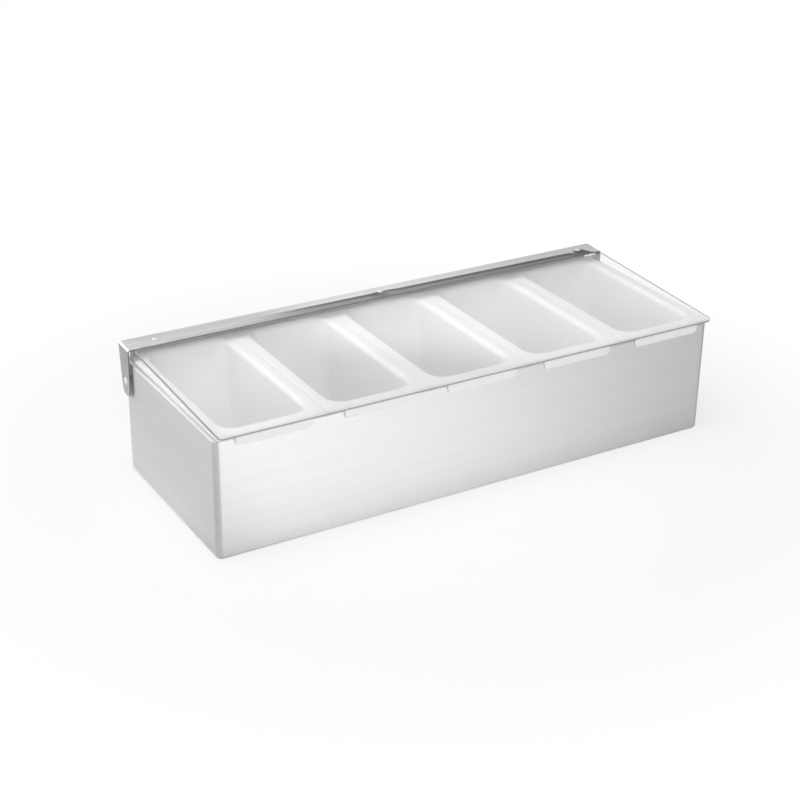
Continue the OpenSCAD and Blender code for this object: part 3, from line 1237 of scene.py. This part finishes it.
@dataclass(frozen=True)
class Lamp:
    """A soft rectangular lamp: its place and size in metres, how bright its face is, where 1 is white,
    and the angle of its beam in degrees."""

    name: str
    place: Point
    size: Pair
    level: float
    beam: float

    def hang(self, aim: Point) -> None:
        """Hangs the lamp in the scene.

        Args:
            aim: what it faces, in metres.
        """
        data = bpy.data.lights.new(self.name, "AREA")
        data.shape, data.size, data.size_y = "RECTANGLE", self.size[0], self.size[1]
        data.spread = math.radians(self.beam)
        data.energy = self.level * math.pi * self.size[0] * self.size[1]
        lamp = linked(self.name, data)
        # The surround alone shapes what the steel and the lid mirror
        lamp.visible_glossy = lamp.visible_transmission = False
        lamp.location = self.place
        lamp.rotation_euler = (Vector(aim) - Vector(self.place)).to_track_quat("-Z", "Y").to_euler()


@dataclass(frozen=True)
class Viewpoint:
    """The camera: it looks down at the caddy from in front of its left end."""

    # In metres
    place: Point = (-0.6693, -1.0951, 0.6685)
    # In degrees: round the caddy from its front, above the floor, and the camera's own tilt
    azimuth: float = -30.58
    elevation: float = 25.95
    roll: float = 0.7
    # The focal length, and the width of the picture, both in the picture's pixels
    focal: float = 1693.0
    width: float = 800.0
    sensor: float = 36.0

    def build(self) -> None:
        """Sets up the camera."""
        azimuth, elevation, roll = (math.radians(a) for a in (self.azimuth, self.elevation, self.roll))
        level = math.cos(elevation)
        back = Vector((math.sin(azimuth) * level, -math.cos(azimuth) * level, math.sin(elevation)))
        flat_right = Vector((0, 0, 1)).cross(back).normalized()
        right = math.cos(roll) * flat_right + math.sin(roll) * back.cross(flat_right)
        turn = Matrix((right, back.cross(right), back)).transposed().to_4x4()
        data = bpy.data.cameras.new("camera")
        data.sensor_width = self.sensor
        data.lens = self.focal / self.width * self.sensor
        camera = linked("camera", data)
        camera.matrix_world = Matrix.Translation(self.place) @ turn
        bpy.context.scene.camera = camera


@dataclass(frozen=True)
class Surround:
    """The room round the caddy: white to the eye, lighter on the left and overhead for matt surfaces,
    and shaped for what steel mirrors. Each shade reads two parts of the direction."""

    # For matt surfaces, by x and z
    matt: Shade = Shade(
        ((-0.9, 1.25), (0.0, 0.8), (0.9, 0.35)),
        ((0.0, 0.6), (0.5, 0.7), (0.8, 0.97), (1.0, 1.38)))
    # For steel, in front, by x and z: a white sweep that is brightest right of the middle and dims overhead
    front: Shade = Shade(
        ((-0.9, 1.0), (0.0, 1.2), (0.3, 2.2), (0.42, 2.0), (0.5, 1.4), (0.56, 0.75), (0.65, 0.35),
         (0.8, 0.15)),
        ((0.55, 1.0), (0.72, 0.25), (0.85, 0.08)))
    # Behind, by x and z: a light wall
    behind: Shade = Shade(
        ((-0.95, 0.9), (-0.7, 1.0), (-0.45, 2.2), (0.0, 1.6), (0.25, 1.05), (0.4, 1.0)),
        ((0.0, 1.0), (0.25, 0.78), (0.34, 0.67), (0.48, 0.73), (0.57, 0.82), (0.66, 0.67), (0.72, 0.6)))
    # Behind on the right, by x and z: the dark gap over that wall's end
    gap: Shade = Shade(
        ((0.46, 1.0), (0.54, 0.72)),
        ((0.27, 0.92), (0.36, 0.86), (0.44, 1.12), (0.47, 0.95), (0.485, 0.08), (0.53, 0.14), (0.57, 0.38),
         (0.66, 0.42), (0.8, 0.36)))
    # Where the front passes into what is behind, in y, and where the gap begins, in x and in y
    turn: Pair = (-0.1, 0.1)
    gap_x: Pair = (0.385, 0.425)
    gap_y: Pair = (0.35, 0.55)

    def build(self) -> None:
        """Sets the world."""
        world = bpy.data.worlds.new("studio")
        bpy.context.scene.world = world
        world.use_nodes = True
        tree = world.node_tree
        tree.nodes.clear()
        rays = add_node(tree, "ShaderNodeLightPath").outputs
        way = add_node(tree, "ShaderNodeTexCoord").outputs["Generated"]
        x, y, z = add_node(tree, "ShaderNodeSeparateXYZ", Vector=way).outputs
        seen = add_node(tree, "ShaderNodeBackground", Color=(1, 1, 1, 1), Strength=1.0).outputs[0]
        for ray, colour in (("Is Glossy Ray", self.mirrored(tree, x, y, z)),
                            ("Is Diffuse Ray", self.matt.add(tree, x, z))):
            light = add_node(tree, "ShaderNodeBackground", Color=colour, Strength=1.0).outputs[0]
            seen = add_node(tree, "ShaderNodeMixShader", {"in": {0: rays[ray], 1: seen, 2: light}}).outputs[0]
        add_node(tree, "ShaderNodeOutputWorld", Surface=seen)

    def mirrored(self, tree: Tree, x: Socket, y: Socket, z: Socket) -> Socket:
        """Adds what steel sees round it.

        Args:
            tree: the world's nodes.
            x: the direction's part to the right.
            y: its part to the back.
            z: its part upwards.

        Returns:
            The grey by direction.
        """
        turn, gap_x, gap_y = (
            add_node(tree, "ShaderNodeMapRange", {"interpolation_type": "SMOOTHSTEP"}, Value=part,
                     From_Min=low, From_Max=high).outputs[0]
            for part, (low, high) in ((y, self.turn), (x, self.gap_x), (y, self.gap_y)))
        share = add_node(tree, "ShaderNodeMath", {"operation": "MULTIPLY", "in": {
            0: gap_x, 1: gap_y}}).outputs[0]
        behind = add_node(tree, "ShaderNodeMix", {"data_type": "RGBA", "in": {
            0: share, 6: self.behind.add(tree, x, z), 7: self.gap.add(tree, x, z)}}).outputs[2]
        return add_node(tree, "ShaderNodeMix", {"data_type": "RGBA", "in": {
            0: turn, 6: self.front.add(tree, x, z), 7: behind}}).outputs[2]


@dataclass(frozen=True)
class Floor:
    """A white studio floor. Its picture keeps a faint shadow, and light and shade are painted into the colour
    that the steel mirrors.
    """

    size: float = 6000.0
    colour: str = "#f4f4f4"
    # How much of the floor's picture is its own light near the caddy, and between which distances that
    # share grows to all of it
    glow: float = 0.66
    near: float = 250.0
    far: float = 450.0
    # Painted light and shade in the colour that steel mirrors, by x and y in metres: lighter and darker bands
    # by x, and darker near the housing's left and front walls
    mirrored: Shade = Shade(
        ((-0.5, 0.8), (-0.31, 0.56), (-0.24, 0.72), (-0.16, 1.2), (0.05, 1.18), (0.3, 0.9), (0.6, 0.68)),
        ((-0.3, 1.05), (-0.17, 0.93), (-0.09, 0.72), (0.0, 1.0)))

    def material(self) -> Material:
        """Makes the floor's material.

        Returns:
            The material.
        """
        material, tree = new_material("white_studio_floor")
        rays = add_node(tree, "ShaderNodeLightPath").outputs
        place = add_node(tree, "ShaderNodeTexCoord").outputs["Object"]
        away = add_node(tree, "ShaderNodeVectorMath", {"operation": "LENGTH", "in": {0: place}})
        glow = add_node(tree, "ShaderNodeMapRange", {"interpolation_type": "SMOOTHSTEP"},
                        Value=away.outputs["Value"], From_Min=self.near * MM, From_Max=self.far * MM,
                        To_Min=self.glow, To_Max=1.0).outputs[0]
        seen = add_node(tree, "ShaderNodeMath", {"operation": "MAXIMUM", "in": {
            0: rays["Is Camera Ray"], 1: rays["Is Transmission Ray"]}}).outputs[0]
        share = add_node(tree, "ShaderNodeMath", {"operation": "MULTIPLY", "in": {
            0: seen, 1: glow}}).outputs[0]
        x, y, _ = add_node(tree, "ShaderNodeSeparateXYZ", Vector=place).outputs
        # Glossy rays see the painted light and shade instead of the floor's own colour
        colour = add_node(tree, "ShaderNodeMix", {"data_type": "RGBA", "in": {
            0: rays["Is Glossy Ray"], 6: linear(self.colour), 7: self.mirrored.add(tree, x, y)}}).outputs[2]
        lit = add_node(tree, "ShaderNodeBsdfDiffuse", Color=colour).outputs[0]
        white = add_node(tree, "ShaderNodeEmission", Color=(1, 1, 1, 1), Strength=1.0).outputs[0]
        both = add_node(tree, "ShaderNodeMixShader", {"in": {0: share, 1: lit, 2: white}}).outputs[0]
        add_node(tree, "ShaderNodeOutputMaterial", Surface=both)
        return material

    def build(self) -> None:
        """Lays the floor."""
        half = self.size / 2 * MM
        corners = [(-half, -half, 0), (half, -half, 0), (half, half, 0), (-half, half, 0)]
        data = bpy.data.meshes.new("floor")
        data.from_pydata(corners, [], [(0, 1, 2, 3)])
        data.materials.append(self.material())
        linked("floor", data)


@dataclass(frozen=True)
class Stage:
    """The floor, the room round it, four soft lamps and the camera."""

    # What the lamps face, in metres
    aim: Point = (-0.05, 0.0, 0.08)
    lamps: tuple[Lamp, ...] = (
        Lamp("key", (-0.75, -1.05, 1.25), (0.8, 0.8), level=0.1, beam=45.0),
        Lamp("left_fill", (-1.5, -0.3, 0.5), (0.7, 0.6), level=1.5, beam=180.0),
        Lamp("overhead", (-0.2, 0.0, 0.95), (0.35, 0.35), level=0.85, beam=60.0),
        Lamp("front_fill", (-0.45, -1.3, 0.6), (0.6, 0.4), level=0.33, beam=60.0),
    )

    def build(self) -> None:
        """Builds the stage."""
        Floor().build()
        Surround().build()
        for lamp in self.lamps:
            lamp.hang(self.aim)
        Viewpoint().build()
        bpy.context.scene.view_settings.view_transform = "Standard"
        log.info("stage: floor, surround, %d lamps and the camera", len(self.lamps))


def main() -> None:
    """Builds the caddy's pieces, then the stage, the light and the camera."""
    pivot = Pivot()
    finishes = Finishes.build(pivot)
    Housing().build(finishes)
    TrayRow().build(finishes)
    HingeBar(pivot).build(finishes)
    Lid().build(finishes)
    Rivets(pivot).build(finishes)
    Stage().build()


if __name__ == "__main__":
    logging.basicConfig(level=logging.INFO, format="%(name)s: %(message)s")
    main()
